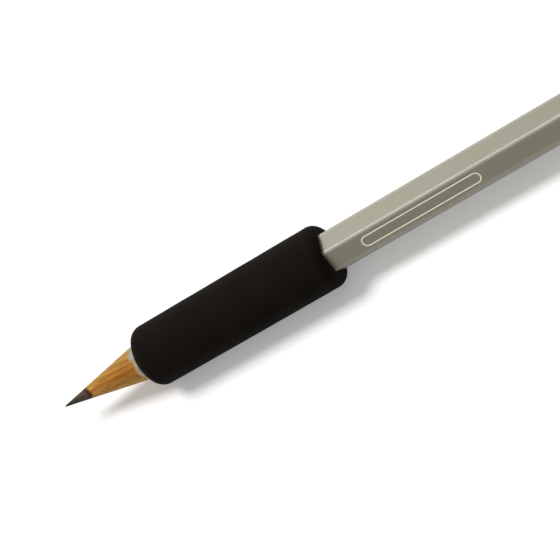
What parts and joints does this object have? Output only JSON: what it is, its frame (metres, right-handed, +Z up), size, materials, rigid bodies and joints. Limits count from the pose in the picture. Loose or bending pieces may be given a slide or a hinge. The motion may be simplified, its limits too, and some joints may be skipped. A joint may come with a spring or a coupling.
{
  "type": "pencil grip",
  "caption": "Soft black foam sleeve with rounded ends, slid onto a sharpened hexagonal wood-cased pencil in silver-grey lacquer, to cushion the fingers in writing and drawing.",
  "frame": {"origin": "the pencil's writing point, on its axis", "axes": "+X back along the pencil's axis from the point to the rear end, +Z up, square to the flat of the hexagon that faces up; two edges of the hexagon lie at +Y and -Y"},
  "size_m": [0.175, 0.012, 0.012],
  "materials": {
    "foam_black": "matte",
    "lacquer_grey": "satin",
    "cedar": "matte",
    "graphite": "satin"
  },
  "bodies": {
    "pencil": {"lead_core": "graphite", "upper_slat": "cedar", "lower_slat": "cedar", "lacquer_coat": "lacquer_grey", "dipped_end": "lacquer_grey"},
    "grip": {"foam_grip": "foam_black"}
  },
  "joints": [
    {"name": "grip_slide", "type": "slide", "parent": "pencil", "child": "grip", "axis": [1, 0, 0], "range_m": [-0.064, 0.113]}
  ]
}
